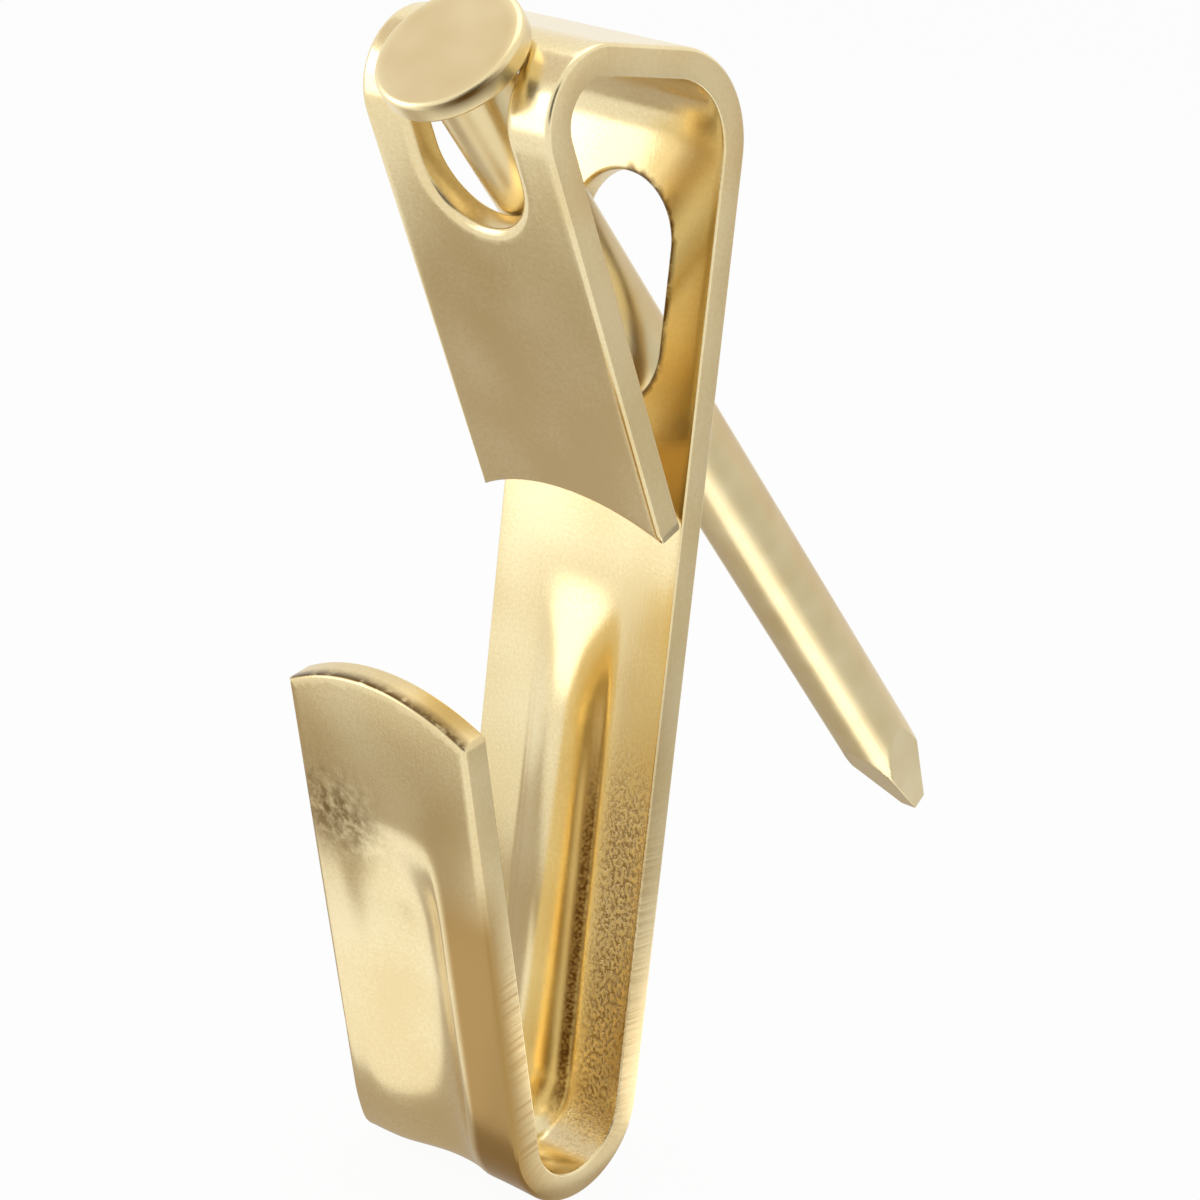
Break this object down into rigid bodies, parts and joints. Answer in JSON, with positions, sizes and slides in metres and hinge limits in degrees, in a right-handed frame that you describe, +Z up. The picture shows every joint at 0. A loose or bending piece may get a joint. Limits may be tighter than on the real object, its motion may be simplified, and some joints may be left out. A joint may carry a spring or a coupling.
{
  "type": "picture hook",
  "caption": "Folded brass-plated strip that hangs a picture: slotted top loop pinned to the wall by a slanted nail, ribbed U-shaped hook below.",
  "frame": {"origin": "point where the axis of the nail enters the wall, on the back plane of the plate and midway across the strip", "axes": "+Y into the wall, +Z up the back plate, X across the strip"},
  "size_m": [0.0094, 0.0375, 0.0481],
  "materials": {
    "plated_strip": "bright brass plating on steel, semi-gloss with rolled and stamped marks",
    "plated_nail": "bright brass plating on steel, drawn shank"
  },
  "bodies": {
    "root": {"hook": "plated_strip", "nail": "plated_nail"}
  },
  "joints": []
}
